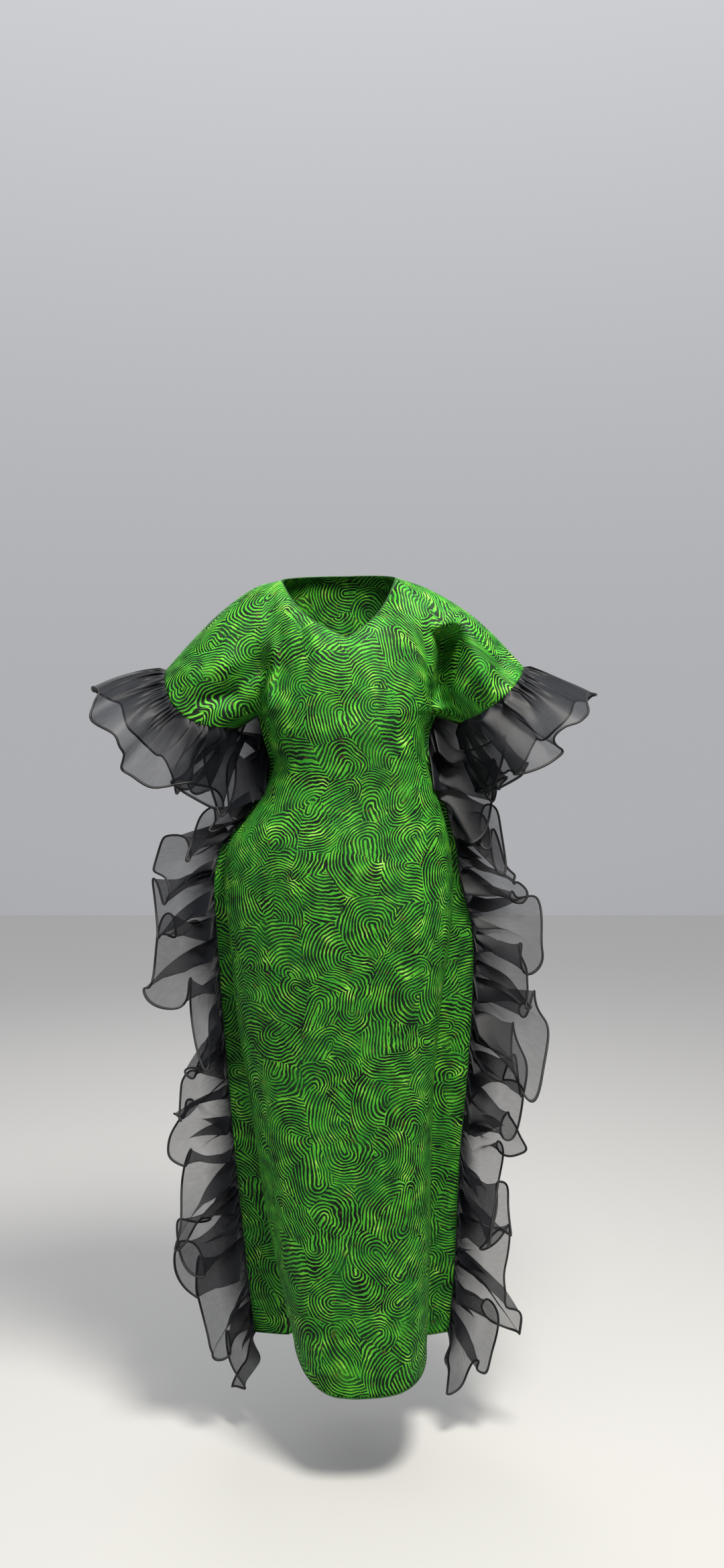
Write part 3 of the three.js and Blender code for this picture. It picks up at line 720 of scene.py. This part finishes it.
def plain(name, hex_code, roughness):
    return Nodes(bpy.data.materials.new(name)).finish(Base_Color=colour(hex_code), Roughness=roughness)


COTTON = printed_cotton()
ORGANZA = organza_cloth()
ROLLED = plain("organza_hem", "06070B", 0.6)
# Plain dark green for the rolled edges and seam cords: the cotton's green, darkened by painted shade in the
# rolls and seams.
TURNED_SHADED_COTTON = plain("turned_cotton_painted_shade", "1C4A1A", 0.75)


# ---- panels, their edges and seams ----
def build_panel(name, face):
    points = panel_points(face)
    obj = grid_mesh(name + "_cloth", points, cut_uv(points), COTTON, flip=face == "back")
    solid = obj.modifiers.new("thickness", "SOLIDIFY")
    solid.thickness = COTTON_THICKNESS * MM
    solid.offset = -1
    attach(obj, "root")
    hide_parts(name)
    return obj, points


def turned_edge(name, points, closed=False):
    """The narrow rolled finish of a cotton edge or seam. Its plain dark green is the cotton's green darkened
    by painted shade in the roll and the seam.
    """
    edge = round_edge(name, points, EDGE_RADIUS, TURNED_SHADED_COTTON, closed=closed)
    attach(edge, "root")
    return edge


def side_seam(points):
    """From the left cuff to the armpit and down to the hem."""
    return np.concatenate([points[UPPER_ROWS, :SLEEVE_COLUMNS], points[UPPER_ROWS:, SLEEVE_COLUMNS]])


front, front_points = build_panel("front_panel", "front")
back, back_points = build_panel("back_panel", "back")

neck = slice(
    SLEEVE_COLUMNS + int(np.searchsorted(BODY, COARSE_SHOULDER)),
    SLEEVE_COLUMNS + int(np.searchsorted(BODY, COARSE_BODY - COARSE_SHOULDER, side="right")),
)
neck_path = np.concatenate([front_points[0, neck], back_points[0, neck][::-1]])
neck_edge = turned_edge("neck_edge", neck_path, closed=True)
front_hem = turned_edge("front_hem_edge", front_points[-1, SLEEVE_COLUMNS:-SLEEVE_COLUMNS])
back_hem = turned_edge("back_hem_edge", back_points[-1, SLEEVE_COLUMNS:-SLEEVE_COLUMNS])

# The two panels are sewn over the shoulders, and from the cuffs to the armpits and down the sides.
between = (front_points + back_points) / 2
seam_paths = {
    "shoulder_seam_left": between[0, : neck.start + 1],
    "shoulder_seam_right": between[0, neck.stop - 1 :],
    "side_seam_left": side_seam(between),
    "side_seam_right": side_seam(between[:, ::-1]),
}
seams = [turned_edge(name, path) for name, path in seam_paths.items()]


# ---- shape of the ruffles: t runs along the seam, r from the seam to the free edge, both 0 to 1 ----
def wave_strength(n):
    return 1 + WAVE_UNEVEN * np.sin(n * 2.3 + 1.7 * np.sin(n * 0.9))


def wave_shift(t, mirror):
    return 0.012 * np.sin(9 * t + mirror) + 0.005 * np.sin(23 * t - mirror)


def pleats(row, length, t, r, seed):
    """One set of pleats that starts at the seam and fades on its way to the free edge."""
    beat = length / row["spacing"] * t
    turn = 2 * np.pi * (beat + PLEAT_WANDER * noise1(beat * 0.6, seed))
    turn = turn + PLEAT_TWIST * noise2(beat * 0.3, r * 2 + 20, seed + 1)
    end = row["end"] + row["spread"] * noise1(beat * 0.55, seed + 2)
    size = 1 + PLEAT_UNEVEN * noise1(beat * 0.4, seed + 3)
    fade = np.minimum(1, r * PLEAT_START) * np.maximum(1 - r / end, 0) ** PLEAT_FADE_POWER
    return size * fade * np.sin(turn)


def gathers(spec, length, t, r, seed):
    """Small folds of a strip: height off the cloth, slide along the strip, ripple of the free edge."""
    height, slide = 0, 0
    for n, row in enumerate(PLEATS):
        fold = (spec["pleats"] if n else 1) * pleats(row, length, t, r, seed + 20 * n)
        height = height + row["height"] * fold
        slide = slide + row["slide"] * fold
    beat = length / FLUTE_SPACING * t
    flute = noise1(beat, seed + 2) + 0.5 * noise1(beat * 2.4, seed + 8)
    flute = spec["flutes"] * r**FLUTE_GROWTH_POWER * flute
    crumple = np.minimum(1, r * 4) * noise2(beat * 2.4, r * 3 + 30, seed + 3)
    kink = KINK_HEIGHT * r**3 * noise1(beat * 2.3, seed + 14)
    height = height + FLUTE_HEIGHT * flute + CRUMPLE_HEIGHT * crumple + kink
    slide = slide + FLUTE_SLIDE * flute + KINK_SLIDE * kink
    ripple = noise1(beat * 1.3, seed + 7) + FINE_RIPPLE * noise1(beat * 3.4, seed + 9)
    return height, slide, RIPPLE * r**2 * ripple


def side_waves(t, mirror, seed):
    """A side ruffle's waves: how many so far, how far they stand out, and how far they swing the edge."""
    waves = SIDE_RUFFLE["waves"]
    wave = waves * (t + wave_shift(t, mirror)) + WAVE_WANDER * noise1(waves * t * 0.8, seed + 12)
    fade = smooth((1 - t) / SIDE_RUFFLE["tail"])
    beat = 2 * np.pi * (wave + TOP_WAVES * smooth(t / TOP_WAVES_END))
    turn = TIP_TURN + TIP_TURN_SPREAD * noise1(wave * 0.9 + 3, seed + 13)
    return wave, fade * np.sin(beat), fade * np.tanh(LOBE_SQUARE * np.cos(beat - turn))


def side_hang(key, t, wave, seed):
    """How a side ruffle hangs: size of its waves, reach as a share of its depth, and droop in radians."""
    at, droops, sizes = HANG[key]
    size = read(at, sizes, t)
    hang = np.radians(read(at, droops, t))
    lifted = smooth((t - LIFT_FROM) / LIFT_FADE) * smooth((LIFT_TO - t) / LIFT_FADE)
    lifted = hang * (1 - LIFT * lifted)
    reach = size * np.cos(hang) / np.cos(lifted) * (1 + TOP_BOOST * (1 - smooth(t / TOP_BOOST_END)))
    return size, reach, lifted + np.radians(DROOP_SPREAD) * noise1(wave * 0.8 + 5, seed + 10)


def side_ruffle(name, key):
    """A strip gathered into a side edge, from under the arm to the hem."""
    spec, seed = SIDE_RUFFLE, SEEDS[name]
    mirror = -1 if key == "left" else 1
    end = SECTIONS["z"][-1] + HEM_GAP
    length = spec["top"] - end
    steps = int(length / GATHER_SPACING * STEPS_PER_GATHER)
    t = np.linspace(0, 1, steps + 1)[None, :]
    r = np.linspace(0, 1, RUFFLE_ROWS + 1)[:, None]
    z = mix(spec["top"], end, t)
    base_x = read(SECTIONS["z"], SECTIONS[key], z)
    base_y = read(SECTIONS["z"], SECTIONS["flare"], z)

    wave, crest, swing = side_waves(t, mirror, seed)
    size, reach, droop = side_hang(key, t, wave, seed)
    strength = wave_strength(wave + 2 * mirror) * size * r**WAVE_GROWTH_POWER * crest
    uneven = 1 + spec["curl"] * swing + REACH_SPREAD * noise1(wave * 0.7 + 9, seed + 11)
    crowd = 1 + TOP_CROWD * (1 - smooth(t / TOP_CROWD_END))
    detail, slide, ripple = (crowd * part for part in gathers(spec, length, t, r, seed))
    out = spec["depth"] * reach * r * uneven + ripple
    lean = (spec["lean"] + spec["edge_lean"] * r**2) * strength
    inward = slide * smooth(r * 2) * np.sin(droop) + SEAM_TUCK
    points = np.stack(np.broadcast_arrays(
        base_x + mirror * (out * np.cos(droop) - inward),
        base_y - spec["sway"] * strength - detail,
        z - out * np.sin(droop) - lean - slide * np.cos(droop),
    ), -1)
    return finish_ruffle(name, points, flip=mirror < 0)


def cuff_ring(key):
    """Points round a cuff at even steps, and its length."""
    column = 0 if key == "left" else -1
    fronts = front_points[: UPPER_ROWS + 1, column]
    backs = back_points[: UPPER_ROWS + 1, column]
    loop = np.concatenate([fronts, backs[1:-1][::-1], fronts[:1]])
    along = lengths_along(loop)
    steps = int(along[-1] / GATHER_SPACING * STEPS_PER_GATHER)
    at = np.arange(steps) / steps * along[-1]
    return np.stack([np.interp(at, along, loop[:, k]) for k in range(3)], -1), along[-1]


def sleeve_ruffle(name, key):
    """A strip gathered round a cuff, which flares from the arm and sags over its top."""
    sleeve, spec, seed = SLEEVES[key], SLEEVE_RUFFLE, SEEDS[name]
    mirror = sleeve["mirror"]
    ring, length = cuff_ring(key)
    t = np.arange(len(ring)) / len(ring)
    r = np.linspace(0, 1, RUFFLE_ROWS + 1)[:, None]
    down = np.array([sleeve["cuff"][0] - ring[0, 0], 0, sleeve["cuff"][1] - ring[0, 2]])
    down /= np.linalg.norm(down)
    axis = np.array([-mirror * down[2], 0, -abs(down[0])])
    radial = ring - ring.mean(0)
    radial -= (radial @ axis)[:, None] * axis
    radial /= np.linalg.norm(radial, axis=1)[:, None]
    height = smooth(0.5 - 0.5 * radial @ down)
    flare = np.radians(mix(spec["bottom_flare"], sleeve["flare"], height))[:, None]
    outward = axis * np.cos(flare) + radial * np.sin(flare)
    aside = -axis * np.sin(flare) + radial * np.cos(flare)
    tangent = np.cross(outward, aside) * mirror

    wave = spec["waves"] * t
    beat = 2 * np.pi * wave
    reach = mix(spec["bottom_reach"], spec["top_reach"], height)
    calm = mix(1, spec["top_waves"], height)
    strength = wave_strength(wave + mirror) * reach * r**WAVE_GROWTH_POWER * calm * np.sin(beat)
    small = calm ** spec["top_gathers_power"]
    detail, slide, ripple = (small * part for part in gathers(spec, length, t[None], r, seed))
    out = sleeve["ruffle"] * reach * r * (1 + spec["curl"] * np.cos(beat)) + ripple
    lean = (spec["lean"] + spec["edge_lean"] * r**2) * strength
    points = (
        (ring - SEAM_TUCK * axis)[None]
        + outward[None] * out[..., None]
        + aside[None] * (spec["sway"] * strength + detail)[..., None]
        + tangent[None] * (lean + slide)[..., None]
    )
    points[..., 2] -= sleeve["sag"] * height * r * r
    return finish_ruffle(name, points, wrap=True)


def finish_ruffle(name, points, wrap=False, flip=False):
    """The cloth of a ruffle and the rolled hem round its free edges."""
    rows = len(points)
    edge = np.concatenate([points[-1], points[-1, :1]]) if wrap else points[-1]
    u = np.linspace(0, lengths_along(edge)[-1], len(edge))[None, :] * MM
    v = np.linspace(0, 1, rows)[:, None]
    uv = np.stack(np.broadcast_arrays(u, v), -1)
    obj = grid_mesh(name + "_cloth", points, uv, ORGANZA, wrap=wrap, flip=flip)
    path = points[-1] if wrap else np.concatenate([points[:-1, 0], points[-1], points[:-1, -1][::-1]])
    rolled = round_edge(name + "_hem", path, HEM_RADIUS, ROLLED, closed=wrap)
    for piece in (obj, rolled):
        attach(piece, "root")
    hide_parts(name)
    return obj, rolled


ruffles = {
    "side_ruffle_left": side_ruffle("side_ruffle_left", "left"),
    "side_ruffle_right": side_ruffle("side_ruffle_right", "right"),
    "sleeve_ruffle_left": sleeve_ruffle("sleeve_ruffle_left", "left"),
    "sleeve_ruffle_right": sleeve_ruffle("sleeve_ruffle_right", "right"),
}


# ---- stage ----
def pale_floor():
    mesh = bpy.data.meshes.new("floor")
    corners = [(x * FLOOR_HALF, y * FLOOR_HALF, FLOOR_Z) for x, y in ((-1, -1), (1, -1), (1, 1), (-1, 1))]
    mesh.from_pydata(corners, [], [(0, 1, 2, 3)])
    mesh.materials.append(plain("floor", FLOOR_TINT, 0.9))
    floor = add_object("floor", mesh)


def studio_world():
    """A pale surround, lighter above and behind the dress than in front, and lightest overhead."""
    m = Nodes(bpy.data.worlds.new("studio"), "Background")
    way = m.add("TexCoord").outputs["Generated"]
    lean = m.add("VectorMath", {0: way, 1: GLOW_WAY}, operation="DOT_PRODUCT").outputs["Value"]
    glow = m.add("MapRange", {0: lean, 1: GLOW_FROM, 2: GLOW_TO, 3: DIM, 4: BRIGHT}).outputs[0]
    rise = m.maths("MAXIMUM", m.add("SeparateXYZ", {0: way}).outputs[2], 0.0)
    strength = m.maths("MULTIPLY_ADD", m.maths("POWER", rise, 2.0), OVERHEAD, glow)
    return m.finish(Color=colour(SURROUND), Strength=strength)


def lamp(name, place, target, size, power, tint):
    light = bpy.data.lights.new(name, "AREA")
    light.shape = "DISK"
    light.size = size
    light.energy = power
    light.color = tint
    obj = add_object(name, light)
    obj.location = place
    obj.rotation_euler = (Vector(target) - Vector(place)).to_track_quat("-Z", "Y").to_euler()


pale_floor()
bpy.context.scene.world = studio_world()
for name, settings in LAMPS.items():
    lamp(name, **settings)

camera = add_object("camera", bpy.data.cameras.new("camera"))
camera.location = CAMERA_PLACE
camera.rotation_euler = (math.pi / 2, 0, 0)
camera.data.sensor_width = SENSOR_WIDTH
camera.data.lens = LENS
bpy.context.scene.camera = camera
bpy.context.scene.view_settings.view_transform = "Standard"
